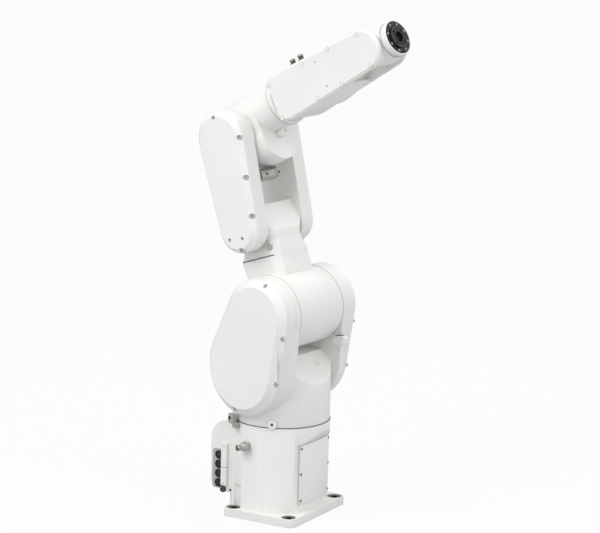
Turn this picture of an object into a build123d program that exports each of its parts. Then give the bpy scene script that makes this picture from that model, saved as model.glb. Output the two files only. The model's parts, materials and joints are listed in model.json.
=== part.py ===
from build123d import *
import math
import os

# Compact six-axis industrial robot arm, in millimetres.
# Origin: centre of the base's mounting face, on axis 1. +X forward, +Y left, +Z up.
# Each link is drawn in a straight home pose, with the lower arm upright and the forearm level,
# and is then turned about the joint axes into the resting pose.

# Driving dimensions of the arm
SHOULDER_X = 20.0
SHOULDER_Z = 399.0
LOWER_ARM_LENGTH = 338.0
ELBOW_OFFSET = 22.0
FOREARM_LENGTH = 354.0
WRIST_LENGTH = 56.0

# Resting pose, in degrees; positive turns follow the right hand about +Z, +Y or +X
AXIS_1_ANGLE = -8.0
AXIS_2_ANGLE = -19.7
AXIS_3_ANGLE = -10.5
AXIS_4_ANGLE = 0.0
AXIS_5_ANGLE = 1.9
AXIS_6_ANGLE = 0.0

# Lowest turn of the forearm below level, in degrees
FOREARM_DOWN_LIMIT = 70.0

# Fits shared by the links
JOINT_GAP = 0.4
SWING_CLEARANCE = 6.0
OVERRUN = 5.0

# Base
PLATE_FRONT = 90.0
PLATE_REAR = 66.0
PLATE_WIDTH = 208.0
PLATE_THICKNESS = 16.0
PLATE_CORNER_R = 15.0
FOOT_HOLE_R = 6.75
FOOT_HOLE_INSET = 17.5
FOOT_POCKET_R = 14.0
FOOT_POCKET_HEIGHT = 46.0
FOOT_POCKET_FLOOR = 2.0
COLUMN_R = 94.0
COLUMN_FRONT_X = 78.0
COLUMN_FRONT_R = 250.0
BAY_HALF_WIDTH = 57.0
BAY_CORNER_R = 8.0
BAY_TOP_Z = 150.0
BAY_SLOPE_HEIGHT = 18.0
SEAM_Z = 184.0
FRONT_COVER_WIDTH = 106.0
FRONT_COVER_LOW_Z = 34.0
FRONT_COVER_HIGH_Z = 148.0
FRONT_COVER_THICKNESS = 4.0
BOX_REAR_X = -117.0
BOX_HALF_WIDTH = 62.0
BOX_LOW_Z = 34.0
BOX_HIGH_Z = 176.0
BOX_ROUND_R = 38.0
BOX_FOOT_RUN = 34.0
BOX_FOOT_RISE = 16.0
PORT_COUNT = 4
PORT_R = 9.0
PORT_PITCH = 20.5
PORT_LOW_Z = 50.0
PORT_STANDOFF = 3.0
PORT_X = -103.0
STRIP_WIDTH = 13.0
STRIP_THICKNESS = 3.0
STRIP_X = -85.0
STRIP_LOW_Z = 47.0
STRIP_HEIGHT = 84.0
FITTING_R = 10.0
FITTING_LENGTH = 22.0
FITTING_NECK_R = 7.0
FITTING_NECK_LENGTH = 8.0
FITTING_Z = 138.0
FITTING_X = -19.0
STOP_INNER_R = 101.0
STOP_DEPTH = 12.0
STOP_WIDTH = 26.0
STOP_LOW_Z = 168.0
STOP_HIGH_Z = 200.0
STOP_FOOT_TOP_Z = 180.0
STOP_ANGLE = -122.0

# Turret, the body of axis 1
TURRET_R = 93.0
TURRET_TOP_Z = 312.0
HUB_R = 73.0
HUB_HALF_WIDTH = 64.0
EAR_INNER_Y = 78.0
EAR_OUTER_Y = 100.0
EAR_TOP_R = 71.0
EAR_LOW_R = 84.0
EAR_LOW_DX = -29.0
EAR_LOW_DZ = -99.0
SHOULDER_COVER_THICKNESS = 18.0
SHOULDER_COVER_CHAMFER = 13.0
STOP_BOSS_R = 9.0
STOP_BOSS_PROUD = 3.0
STOP_BOSS_ANGLE = -63.0
STOP_BOSS_RISE = 11.0
SHOULDER_CLAMP_X = 72.0
SHOULDER_CLAMP_Z = 324.0
SHOULDER_CLAMP_LENGTH = 20.0
CLAMP_WIDTH = 24.0
CLAMP_HEIGHT = 9.0
CLAMP_SLOT_WIDTH = 4.0
CLAMP_SLOT_COUNT = 3

# Lower arm, the body of axis 2
NECK_FRONT = 38.0
NECK_REAR = 45.0
NECK_SEAM_REAR = 58.0
NECK_HALF_WIDTH = 52.0
NECK_CORNER_R = 18.0
NECK_SEAM_SHARE = 0.3
FORK_FOOT_FRONT = 36.0
FORK_FOOT_REAR = 50.0
FORK_FOOT_HALF_WIDTH = 44.0
FORK_FOOT_SHARE = 0.397
YOKE_FRONT = 36.0
YOKE_REAR = 50.0
YOKE_HALF_WIDTH = 56.0
YOKE_SHARE = 0.488
SLOT_FLOOR_DROP = 136.0
SLOT_HALF_WIDTH = 52.0
ARM_OUTER_Y = 78.0
ARM_TOP_R = 54.0
ARM_LOW_R = 45.0
ARM_LOW_DX = -10.0
ARM_LOW_SHARE = 0.494
ELBOW_COVER_THICKNESS = 15.0
ELBOW_COVER_CHAMFER = 9.0

# Elbow, the body of axis 3
ELBOW_R = 50.0
ELBOW_LOBE_R = 46.0
ELBOW_LOBE_DROP = 30.0
ELBOW_LOBE_FRONT = 66.0
ELBOW_LOBE_REAR = 35.0
ELBOW_BLOCK_HALF_WIDTH = 44.0
TUBE_R = 44.0
KNOB_R = 9.0
KNOB_LENGTH = 14.0
KNOB_DROP = 32.0
ELBOW_CLAMP_X = 20.0
ELBOW_CLAMP_LENGTH = 56.0
ELBOW_CLAMP_LOW_DROP = 106.0
ELBOW_CLAMP_HANGER_WIDTH = 30.0
ELBOW_CLAMP_HANGER_THICKNESS = 6.0

# Forearm, the body of axis 4
FOREARM_START = 108.0
FOREARM_RING_R = 47.0
FOREARM_RING_LENGTH = 10.0
FOREARM_REAR_DX = 149.0
FOREARM_REAR_DROP = 1.0
FOREARM_REAR_R = 46.0
FOREARM_CORNER_RISE = 8.0
FOREARM_FRONT_R = 38.0
FOREARM_CORE_HALF_WIDTH = 40.0
FOREARM_COVER_THICKNESS = 7.0
FOREARM_COVER_CHAMFER = 4.0
WRIST_SLOT_HALF_WIDTH = 37.0
WRIST_SLOT_TIP = 50.0
WRIST_SLOT_SLOPE = 0.84
BELLY_START = 208.0
BELLY_END = 262.0
BELLY_HALF_WIDTH = 36.0
BELLY_DEPTH = 9.0
AIR_FITTING_R = 6.0
AIR_FITTING_HEIGHT = 14.0
AIR_FITTING_HEX_R = 8.0
AIR_FITTING_HEX_HEIGHT = 6.0
AIR_FITTING_SPACING = 22.0
AIR_FITTING_X = 158.0
AIR_FITTING_SINK = 12.0

# Wrist and tool flange, the bodies of axes 5 and 6
WRIST_R = 34.0
WRIST_NOSE_R = 32.5
FLANGE_R = 33.0
FLANGE_THICKNESS = 14.0
FLANGE_REGISTER_R = 20.0
FLANGE_REGISTER_RISE = 4.0
FLANGE_BORE_R = 10.0
FLANGE_BORE_DEPTH = 6.0
FLANGE_PCD_R = 15.75
FLANGE_HOLE_R = 2.1
FLANGE_HOLE_DEPTH = 12.0
FLANGE_HOLE_COUNT = 4

# Joint centres in the home pose
SHOULDER = (SHOULDER_X, 0, SHOULDER_Z)
ELBOW_Z = SHOULDER_Z + LOWER_ARM_LENGTH
ELBOW = (SHOULDER_X, 0, ELBOW_Z)
FOREARM_Z = ELBOW_Z + ELBOW_OFFSET
WRIST_X = SHOULDER_X + FOREARM_LENGTH
WRIST = (WRIST_X, 0, FOREARM_Z)
FLANGE_X = WRIST_X + WRIST_LENGTH

# Heights of the lower arm's parts above axis 2
NECK_SEAM_RISE = NECK_SEAM_SHARE * LOWER_ARM_LENGTH
FORK_FOOT_RISE = FORK_FOOT_SHARE * LOWER_ARM_LENGTH
YOKE_RISE = YOKE_SHARE * LOWER_ARM_LENGTH
ARM_LOW_RISE = ARM_LOW_SHARE * LOWER_ARM_LENGTH
SLOT_FLOOR_RISE = LOWER_ARM_LENGTH - SLOT_FLOOR_DROP

# Each joint turns its own link and all that follow it
LINKS = ["base", "turret", "lower_arm", "elbow", "forearm", "wrist", "flange"]
JOINT_TURNS = [
    (Axis((0, 0, 0), (0, 0, 1)), AXIS_1_ANGLE),
    (Axis(SHOULDER, (0, 1, 0)), AXIS_2_ANGLE),
    (Axis(ELBOW, (0, 1, 0)), AXIS_3_ANGLE),
    (Axis(WRIST, (1, 0, 0)), AXIS_4_ANGLE),
    (Axis(WRIST, (0, 1, 0)), AXIS_5_ANGLE),
    (Axis(WRIST, (1, 0, 0)), AXIS_6_ANGLE),
]

# Lobe centres in the side plane, in the home pose
EAR_TOP = (SHOULDER_X, SHOULDER_Z)
EAR_LOW = (SHOULDER_X + EAR_LOW_DX, SHOULDER_Z + EAR_LOW_DZ)
ARM_TOP = (SHOULDER_X, ELBOW_Z)
ARM_LOW = (SHOULDER_X + ARM_LOW_DX, SHOULDER_Z + ARM_LOW_RISE)
FOREARM_REAR = (SHOULDER_X + FOREARM_REAR_DX, FOREARM_Z - FOREARM_REAR_DROP)
FOREARM_FRONT = (WRIST_X, FOREARM_Z)


def posed(shape, link):
    """Turn a piece of a link into the resting pose."""
    for axis, angle in reversed(JOINT_TURNS[:LINKS.index(link)]):
        shape = shape.rotate(axis, angle)
    return shape


def side_plane(y):
    """Sketching plane across the arm at Y = y, with X to the right and Z up."""
    return Plane(origin=(0, y, 0), x_dir=(1, 0, 0), z_dir=(0, -1, 0))


def front_plane(x):
    """Sketching plane facing forward at X = x, with Y to the right and Z up."""
    return Plane(origin=(x, 0, 0), x_dir=(0, 1, 0), z_dir=(1, 0, 0))


def drum_y(centre_x, centre_z, radius, low_y, high_y):
    """Cylinder along Y."""
    return extrude(side_plane(high_y) * Pos(centre_x, centre_z) * Circle(radius), high_y - low_y)


def drum_x(centre_y, centre_z, radius, low_x, high_x):
    """Cylinder along X."""
    return extrude(front_plane(low_x) * Pos(centre_y, centre_z) * Circle(radius), high_x - low_x)


def drum_z(centre_x, centre_y, radius, low_z, high_z):
    """Cylinder along Z."""
    return extrude(Pos(centre_x, centre_y, low_z) * Circle(radius), high_z - low_z)


def block(low, high):
    """Box between two corners."""
    size = [b - a for a, b in zip(low, high)]
    middle = [(a + b) / 2 for a, b in zip(low, high)]
    return Pos(*middle) * Box(*size)


def side_prism(points, half_width):
    """Prism along Y, centred on the arm, from its outline in the side plane."""
    outline = side_plane(half_width) * Polygon(*points, align=None)
    return extrude(outline, 2 * half_width, dir=(0, -1, 0))


def lobed_face(first, first_r, second, second_r):
    """Outline of two round lobes joined by their common tangents, in the side plane."""
    run_x = second[0] - first[0]
    run_z = second[1] - first[1]
    heading = math.atan2(run_z, run_x)
    spread = math.acos((first_r - second_r) / math.hypot(run_x, run_z))

    def rim(centre, radius, angle):
        return (centre[0] + radius * math.cos(angle), centre[1] + radius * math.sin(angle))

    first_left = rim(first, first_r, heading + spread)
    first_right = rim(first, first_r, heading - spread)
    second_left = rim(second, second_r, heading + spread)
    second_right = rim(second, second_r, heading - spread)
    edges = [
        Line(first_left, second_left),
        ThreePointArc(second_left, rim(second, second_r, heading), second_right),
        Line(second_right, first_right),
        ThreePointArc(first_right, rim(first, first_r, heading + math.pi), first_left),
    ]
    return Face(Wire(edges))


def lobed_plate(first, first_r, second, second_r, low_y, high_y):
    """Plate with a lobed outline between two Y planes."""
    outline = side_plane(high_y) * lobed_face(first, first_r, second, second_r)
    return extrude(outline, high_y - low_y, dir=(0, -1, 0))


def rimmed(plate, side, chamfer_size):
    """Plate with its outer rim chamfered; side is -1 for the right and +1 for the left."""
    outer_face = plate.faces().sort_by(Axis.Y)[-1 if side > 0 else 0]
    return chamfer(outer_face.edges(), chamfer_size)


def side_cover(first, first_r, second, second_r, side, seat_y, thickness, chamfer_size):
    """Lobed cover with a chamfered rim, on the right (side -1) or on the left (side 1)."""
    low_y, high_y = sorted((side * seat_y, side * (seat_y + thickness)))
    return rimmed(lobed_plate(first, first_r, second, second_r, low_y, high_y), side, chamfer_size)


def foot_outline():
    """Plan of the foot plate."""
    middle = (PLATE_FRONT - PLATE_REAR) / 2
    return Pos(middle, 0) * RectangleRounded(PLATE_FRONT + PLATE_REAR, PLATE_WIDTH, PLATE_CORNER_R)


def column_outline():
    """Plan of the column: a round body whose front is a gently curved bay."""
    bay_middle = COLUMN_FRONT_X / 2
    bay = Pos(bay_middle, 0) * RectangleRounded(COLUMN_FRONT_X, 2 * BAY_HALF_WIDTH, BAY_CORNER_R)
    front_arc = Pos(COLUMN_FRONT_X - COLUMN_FRONT_R, 0) * Circle(COLUMN_FRONT_R)
    return (Circle(COLUMN_R) + bay) & front_arc


def base_casting():
    """Foot plate and column in one casting."""
    body = extrude(foot_outline(), PLATE_THICKNESS)
    body += extrude(column_outline(), BAY_TOP_Z)
    body += drum_z(0, 0, COLUMN_R, BAY_TOP_Z, SEAM_Z)
    slope_top_z = BAY_TOP_Z + BAY_SLOPE_HEIGHT
    slope = [(COLUMN_FRONT_X, BAY_TOP_Z), (COLUMN_R + OVERRUN, BAY_TOP_Z),
             (COLUMN_R + OVERRUN, slope_top_z), (COLUMN_R, slope_top_z)]
    body -= side_prism(slope, COLUMN_R)
    for x in (-PLATE_REAR + FOOT_HOLE_INSET, PLATE_FRONT - FOOT_HOLE_INSET):
        for side in (-1, 1):
            y = side * (PLATE_WIDTH / 2 - FOOT_HOLE_INSET)
            body -= drum_z(x, y, FOOT_HOLE_R, -OVERRUN, PLATE_THICKNESS)
            floor_z = PLATE_THICKNESS - FOOT_POCKET_FLOOR
            body -= drum_z(x, y, FOOT_POCKET_R, floor_z, floor_z + FOOT_POCKET_HEIGHT)
    return body


def connector_box():
    """Rear housing for the plugs and sockets, with a rounded top and a sloped foot."""
    outline = [(BOX_REAR_X, BOX_LOW_Z + BOX_FOOT_RISE), (BOX_REAR_X + BOX_FOOT_RUN, BOX_LOW_Z),
               (0, BOX_LOW_Z), (0, BOX_HIGH_Z), (BOX_REAR_X, BOX_HIGH_Z)]
    body = side_prism(outline, BOX_HALF_WIDTH)
    top_edge = body.edges().filter_by(Axis.Y).group_by(Axis.X)[0].sort_by(Axis.Z)[-1]
    body = fillet(top_edge, BOX_ROUND_R)
    return body - extrude(column_outline(), SEAM_Z)


def port_strip():
    """Narrow plate beside the sockets."""
    return block(
        (STRIP_X - STRIP_WIDTH / 2, -BOX_HALF_WIDTH - STRIP_THICKNESS, STRIP_LOW_Z),
        (STRIP_X + STRIP_WIDTH / 2, -BOX_HALF_WIDTH, STRIP_LOW_Z + STRIP_HEIGHT))


def port_sockets():
    """Row of round sockets standing on the box's right wall."""
    sockets = []
    for index in range(PORT_COUNT):
        z = PORT_LOW_Z + index * PORT_PITCH
        sockets.append(drum_y(PORT_X, z, PORT_R, -BOX_HALF_WIDTH - PORT_STANDOFF, -BOX_HALF_WIDTH))
    return Compound(sockets)


def front_cover():
    """Curved access cover on the front of the column."""
    ring = Circle(COLUMN_FRONT_R + FRONT_COVER_THICKNESS) - Circle(COLUMN_FRONT_R)
    ring = Pos(COLUMN_FRONT_X - COLUMN_FRONT_R, 0) * ring
    width = Pos(COLUMN_FRONT_X, 0) * Rectangle(COLUMN_FRONT_X, FRONT_COVER_WIDTH)
    body = extrude(ring & width, FRONT_COVER_HIGH_Z - FRONT_COVER_LOW_Z)
    return Pos(0, 0, FRONT_COVER_LOW_Z) * body


def column_fitting():
    """Threaded fitting on the column's right side."""
    wall_y = -math.sqrt(COLUMN_R ** 2 - FITTING_X ** 2)
    neck_y = wall_y - FITTING_NECK_LENGTH
    neck = drum_y(FITTING_X, FITTING_Z, FITTING_NECK_R, neck_y, wall_y + OVERRUN)
    head = drum_y(FITTING_X, FITTING_Z, FITTING_R, wall_y - FITTING_LENGTH, neck_y)
    return neck + head - drum_z(0, 0, COLUMN_R, 0, SEAM_Z)


def stop_block():
    """Bracket on the column's top edge, clear of the turret."""
    outer_r = STOP_INNER_R + STOP_DEPTH
    half = STOP_WIDTH / 2
    body = block((COLUMN_R / 2, -half, STOP_LOW_Z), (outer_r, half, STOP_FOOT_TOP_Z))
    body += block((STOP_INNER_R, -half, STOP_LOW_Z), (outer_r, half, STOP_HIGH_Z))
    body = body.rotate(Axis.Z, STOP_ANGLE)
    return body - extrude(column_outline(), SEAM_Z)


def turret_casting():
    """Rotating column with a sloped front and the two ears that carry axis 2."""
    body = drum_z(0, 0, TURRET_R, SEAM_Z + JOINT_GAP, TURRET_TOP_Z)
    # The slope faces the neck's front when the lower arm is at its forward limit of 135 degrees
    diagonal = SHOULDER_X + SHOULDER_Z - math.sqrt(2) * (NECK_FRONT + SWING_CLEARANCE)
    reach = TURRET_R + OVERRUN
    slope = [(diagonal - TURRET_TOP_Z, TURRET_TOP_Z), (reach, diagonal - reach), (reach, TURRET_TOP_Z)]
    body -= side_prism(slope, TURRET_R)
    for side in (-1, 1):
        low_y, high_y = sorted((side * EAR_INNER_Y, side * EAR_OUTER_Y))
        body += lobed_plate(EAR_TOP, EAR_TOP_R, EAR_LOW, EAR_LOW_R, low_y, high_y)
        low_y, high_y = sorted((side * HUB_HALF_WIDTH, side * EAR_INNER_Y))
        body += drum_y(SHOULDER_X, SHOULDER_Z, HUB_R, low_y, high_y)
    return body


def shoulder_cover(side):
    """Lobed cover over one shoulder drive."""
    return side_cover(EAR_TOP, EAR_TOP_R, EAR_LOW, EAR_LOW_R, side, EAR_OUTER_Y,
                      SHOULDER_COVER_THICKNESS, SHOULDER_COVER_CHAMFER)


def stop_boss():
    """Round boss with the turret's stop screw."""
    boss = drum_x(0, SEAM_Z + STOP_BOSS_RISE, STOP_BOSS_R, 0, TURRET_R + STOP_BOSS_PROUD)
    boss -= drum_z(0, 0, TURRET_R, SEAM_Z, TURRET_TOP_Z)
    return boss.rotate(Axis.Z, STOP_BOSS_ANGLE)


def cable_clamp(length):
    """Slotted clamp bar along Y, centred on the origin with its foot at Z = 0."""
    bar = block((-CLAMP_WIDTH / 2, -length / 2, 0), (CLAMP_WIDTH / 2, length / 2, CLAMP_HEIGHT))
    pitch = length / (CLAMP_SLOT_COUNT + 1)
    for index in range(CLAMP_SLOT_COUNT):
        y = (index + 1) * pitch - length / 2
        low_y = y - CLAMP_SLOT_WIDTH / 2
        bar -= block((-CLAMP_WIDTH, low_y, CLAMP_HEIGHT / 2),
                     (CLAMP_WIDTH, low_y + CLAMP_SLOT_WIDTH, CLAMP_HEIGHT + OVERRUN))
    return bar


def shoulder_clamp():
    """Cable clamp that stands on the inner face of the left ear."""
    middle_y = EAR_INNER_Y - SHOULDER_CLAMP_LENGTH / 2
    bar = Pos(SHOULDER_CLAMP_X, middle_y, SHOULDER_CLAMP_Z) * cable_clamp(SHOULDER_CLAMP_LENGTH)
    return bar - drum_z(0, 0, TURRET_R, SEAM_Z, TURRET_TOP_Z)


def arm_section(front, rear, half_width, rise):
    """Rounded section of the lower arm at a height above axis 2."""
    middle = SHOULDER_X + (front - rear) / 2
    return Pos(middle, 0, SHOULDER_Z + rise) * RectangleRounded(front + rear, 2 * half_width, NECK_CORNER_R)


def lower_arm_hub():
    """Tube on axis 2 with the neck that rises from it."""
    end_y = HUB_HALF_WIDTH - JOINT_GAP
    body = drum_y(SHOULDER_X, SHOULDER_Z, HUB_R, -end_y, end_y)
    seam_z = SHOULDER_Z + NECK_SEAM_RISE
    outline = [(SHOULDER_X - NECK_REAR, SHOULDER_Z), (SHOULDER_X + NECK_FRONT, SHOULDER_Z),
               (SHOULDER_X + NECK_FRONT, seam_z), (SHOULDER_X - NECK_SEAM_REAR, seam_z)]
    neck = side_prism(outline, NECK_HALF_WIDTH)
    upright = [edge for edge in neck.edges() if edge.bounding_box().size.Z > NECK_CORNER_R]
    return body + fillet(upright, NECK_CORNER_R)


def lower_arm_fork():
    """Fork that carries axis 3, bolted to the neck."""
    foot = (FORK_FOOT_FRONT, FORK_FOOT_REAR, FORK_FOOT_HALF_WIDTH)
    yoke = (YOKE_FRONT, YOKE_REAR, YOKE_HALF_WIDTH)
    body = extrude(arm_section(*foot, NECK_SEAM_RISE), FORK_FOOT_RISE - NECK_SEAM_RISE)
    body += loft([arm_section(*foot, FORK_FOOT_RISE), arm_section(*yoke, YOKE_RISE)], ruled=True)
    body += extrude(arm_section(*yoke, YOKE_RISE), SLOT_FLOOR_RISE - YOKE_RISE)
    for side in (-1, 1):
        low_y, high_y = sorted((side * SLOT_HALF_WIDTH, side * ARM_OUTER_Y))
        body += lobed_plate(ARM_TOP, ARM_TOP_R, ARM_LOW, ARM_LOW_R, low_y, high_y)
    # The front of the slot's floor is cut along the underside of the forearm at its lowest
    underside = FOREARM_REAR_DROP + FOREARM_REAR_R + SWING_CLEARANCE - ELBOW_OFFSET
    turned = math.radians(FOREARM_DOWN_LIMIT)
    run = (math.cos(turned), -math.sin(turned))
    rise = (math.sin(turned), math.cos(turned))
    corner = []
    for along, above in ((0, -underside), (WRIST_X, -underside), (WRIST_X, ARM_TOP_R), (0, ARM_TOP_R)):
        corner.append((SHOULDER_X + along * run[0] + above * rise[0],
                       ELBOW_Z + along * run[1] + above * rise[1]))
    return body - side_prism(corner, SLOT_HALF_WIDTH)


def elbow_cover(side):
    """Lobed cover over one side of the fork."""
    return side_cover(ARM_TOP, ARM_TOP_R, ARM_LOW, ARM_LOW_R, side, ARM_OUTER_Y,
                      ELBOW_COVER_THICKNESS, ELBOW_COVER_CHAMFER)


def elbow_clamp():
    """Cable clamp facing forward, on a hanger under the elbow's lower lobe."""
    lobe = drum_x(0, ELBOW_Z - ELBOW_LOBE_DROP, ELBOW_LOBE_R, 0, WRIST_X)
    front_x = SHOULDER_X + ELBOW_CLAMP_X
    rear_x = front_x - ELBOW_CLAMP_HANGER_THICKNESS
    half_width = ELBOW_CLAMP_HANGER_WIDTH / 2
    low_z = ELBOW_Z - ELBOW_CLAMP_LOW_DROP
    hanger = block((rear_x, -half_width, low_z), (front_x, half_width, ELBOW_Z - ELBOW_LOBE_DROP))
    bar = cable_clamp(ELBOW_CLAMP_LENGTH).rotate(Axis.Y, 90)
    return hanger - lobe + Pos(front_x, 0, low_z + CLAMP_WIDTH / 2) * bar


def elbow_housing():
    """Housing on axis 3 with the tube that carries axis 4."""
    end_y = SLOT_HALF_WIDTH - JOINT_GAP
    body = drum_y(SHOULDER_X, ELBOW_Z, ELBOW_R, -end_y, end_y)
    rear_x = SHOULDER_X - ELBOW_LOBE_REAR
    front_x = SHOULDER_X + ELBOW_LOBE_FRONT
    body += drum_x(0, ELBOW_Z - ELBOW_LOBE_DROP, ELBOW_LOBE_R, rear_x, front_x)
    body += block((rear_x, -ELBOW_BLOCK_HALF_WIDTH, ELBOW_Z - ELBOW_LOBE_DROP),
                  (front_x, ELBOW_BLOCK_HALF_WIDTH, FOREARM_Z))
    return body + drum_x(0, FOREARM_Z, TUBE_R, rear_x, SHOULDER_X + FOREARM_START - JOINT_GAP)


def elbow_knob():
    """Round plug on the front of the elbow's lower lobe."""
    front_x = SHOULDER_X + ELBOW_LOBE_FRONT
    return drum_x(0, ELBOW_Z - KNOB_DROP, KNOB_R, front_x, front_x + KNOB_LENGTH)


def forearm_plate(low_y, high_y):
    """Plate in the forearm's outline, square below the joint ring and round about axis 5."""
    plate = lobed_plate(FOREARM_REAR, FOREARM_REAR_R, FOREARM_FRONT, FOREARM_FRONT_R, low_y, high_y)
    rear_x, rear_z = FOREARM_REAR
    start_x = SHOULDER_X + FOREARM_START + FOREARM_RING_LENGTH
    low_z = rear_z - FOREARM_REAR_R + FOREARM_CORNER_RISE
    plate += block((start_x, low_y, low_z), (rear_x, high_y, rear_z))
    height = 2 * FOREARM_REAR_R
    return plate & block((start_x, low_y, rear_z - height), (FLANGE_X, high_y, rear_z + height))


def forearm_casting():
    """Forearm from its joint with the elbow to the fork that carries axis 5."""
    body = forearm_plate(-FOREARM_CORE_HALF_WIDTH, FOREARM_CORE_HALF_WIDTH)
    start_x = SHOULDER_X + FOREARM_START
    body += drum_x(0, FOREARM_Z, FOREARM_RING_R, start_x, start_x + FOREARM_RING_LENGTH)
    # The slot's floor narrows to a tongue, so the wrist can fold back past it on both sides
    height = 2 * FOREARM_REAR_R
    tip_x = WRIST_X - WRIST_SLOT_TIP
    back_x = tip_x - WRIST_SLOT_SLOPE * height
    slot = [(tip_x, FOREARM_Z), (back_x, FOREARM_Z - height), (FLANGE_X, FOREARM_Z - height),
            (FLANGE_X, FOREARM_Z + height), (back_x, FOREARM_Z + height)]
    return body - side_prism(slot, WRIST_SLOT_HALF_WIDTH)


def forearm_cover(side):
    """Cover over one side of the forearm."""
    outer_y = FOREARM_CORE_HALF_WIDTH + FOREARM_COVER_THICKNESS
    low_y, high_y = sorted((side * FOREARM_CORE_HALF_WIDTH, side * outer_y))
    return rimmed(forearm_plate(low_y, high_y), side, FOREARM_COVER_CHAMFER)


def forearm_belly():
    """Shallow cover under the forearm."""
    low_z = FOREARM_Z - FOREARM_FRONT_R - BELLY_DEPTH
    body = block((SHOULDER_X + BELLY_START, -BELLY_HALF_WIDTH, low_z),
                 (SHOULDER_X + BELLY_END, BELLY_HALF_WIDTH, FOREARM_Z))
    return body - forearm_plate(-FOREARM_CORE_HALF_WIDTH, FOREARM_CORE_HALF_WIDTH)


def air_fittings():
    """Two air fittings on top of the forearm."""
    fittings = []
    core = forearm_plate(-FOREARM_CORE_HALF_WIDTH, FOREARM_CORE_HALF_WIDTH)
    hex_top_z = FOREARM_Z + FOREARM_REAR_R
    low_z = hex_top_z - AIR_FITTING_SINK
    for index in (0, 1):
        x = SHOULDER_X + AIR_FITTING_X + index * AIR_FITTING_SPACING
        hexagon = Pos(x, 0, low_z) * extrude(
            RegularPolygon(AIR_FITTING_HEX_R, 6), AIR_FITTING_SINK + AIR_FITTING_HEX_HEIGHT)
        barrel = drum_z(x, 0, AIR_FITTING_R, low_z, hex_top_z + AIR_FITTING_HEIGHT)
        fittings.append(hexagon + barrel - core)
    return Compound(fittings)


def wrist_housing():
    """Wrist on axis 5 with the nose that carries the tool flange."""
    end_y = WRIST_SLOT_HALF_WIDTH - JOINT_GAP
    body = drum_y(WRIST_X, FOREARM_Z, WRIST_R, -end_y, end_y)
    nose_end = FLANGE_X - FLANGE_THICKNESS - JOINT_GAP
    return body + drum_x(0, FOREARM_Z, WRIST_NOSE_R, WRIST_X, nose_end)


def tool_flange():
    """Round flange with its register, centre bore and ring of tapped holes."""
    register_x = FLANGE_X - FLANGE_REGISTER_RISE
    body = drum_x(0, FOREARM_Z, FLANGE_R, FLANGE_X - FLANGE_THICKNESS, register_x)
    body += drum_x(0, FOREARM_Z, FLANGE_REGISTER_R, register_x, FLANGE_X)
    body -= drum_x(0, FOREARM_Z, FLANGE_BORE_R, FLANGE_X - FLANGE_BORE_DEPTH, FLANGE_X + OVERRUN)
    for index in range(FLANGE_HOLE_COUNT):
        angle = 2 * math.pi * (index + 1 / 2) / FLANGE_HOLE_COUNT
        y = FLANGE_PCD_R * math.cos(angle)
        z = FOREARM_Z + FLANGE_PCD_R * math.sin(angle)
        body -= drum_x(y, z, FLANGE_HOLE_R, FLANGE_X - FLANGE_HOLE_DEPTH, FLANGE_X + OVERRUN)
    return body


# Every node with the link that carries it
PIECES = {
    "base_casting": (base_casting, "base"),
    "connector_box": (connector_box, "base"),
    "port_strip": (port_strip, "base"),
    "port_sockets": (port_sockets, "base"),
    "front_cover": (front_cover, "base"),
    "column_fitting": (column_fitting, "base"),
    "stop_block": (stop_block, "base"),
    "turret_casting": (turret_casting, "turret"),
    "shoulder_cover_right": (lambda: shoulder_cover(-1), "turret"),
    "shoulder_cover_left": (lambda: shoulder_cover(1), "turret"),
    "stop_boss": (stop_boss, "turret"),
    "shoulder_clamp": (shoulder_clamp, "turret"),
    "lower_arm_hub": (lower_arm_hub, "lower_arm"),
    "lower_arm_fork": (lower_arm_fork, "lower_arm"),
    "elbow_cover_right": (lambda: elbow_cover(-1), "lower_arm"),
    "elbow_cover_left": (lambda: elbow_cover(1), "lower_arm"),
    "elbow_housing": (elbow_housing, "elbow"),
    "elbow_knob": (elbow_knob, "elbow"),
    "elbow_clamp": (elbow_clamp, "elbow"),
    "forearm_casting": (forearm_casting, "forearm"),
    "forearm_cover_right": (lambda: forearm_cover(-1), "forearm"),
    "forearm_cover_left": (lambda: forearm_cover(1), "forearm"),
    "forearm_belly": (forearm_belly, "forearm"),
    "air_fittings": (air_fittings, "forearm"),
    "wrist_housing": (wrist_housing, "wrist"),
    "tool_flange": (tool_flange, "flange"),
}

os.makedirs("parts", exist_ok=True)
for name, (make, link) in PIECES.items():
    export_step(posed(make(), link), f"parts/{name}.step")
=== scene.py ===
import bpy
import bmesh
import json
import math
from mathutils import Matrix, Vector


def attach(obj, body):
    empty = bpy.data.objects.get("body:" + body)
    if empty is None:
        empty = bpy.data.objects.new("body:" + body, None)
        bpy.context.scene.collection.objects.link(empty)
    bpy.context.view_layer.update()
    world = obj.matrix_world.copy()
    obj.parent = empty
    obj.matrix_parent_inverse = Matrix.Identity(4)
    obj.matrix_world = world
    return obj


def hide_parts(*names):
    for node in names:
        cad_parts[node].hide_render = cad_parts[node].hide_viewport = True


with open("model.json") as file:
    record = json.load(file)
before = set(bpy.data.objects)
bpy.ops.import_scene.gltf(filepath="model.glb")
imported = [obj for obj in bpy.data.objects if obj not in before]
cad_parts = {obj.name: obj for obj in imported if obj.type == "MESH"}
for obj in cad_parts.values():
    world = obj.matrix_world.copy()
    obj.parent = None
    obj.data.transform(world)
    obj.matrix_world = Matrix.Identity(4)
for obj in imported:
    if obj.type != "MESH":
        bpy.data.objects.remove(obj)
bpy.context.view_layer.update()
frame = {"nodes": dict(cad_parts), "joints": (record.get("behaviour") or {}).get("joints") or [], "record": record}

MM = 0.001

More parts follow.
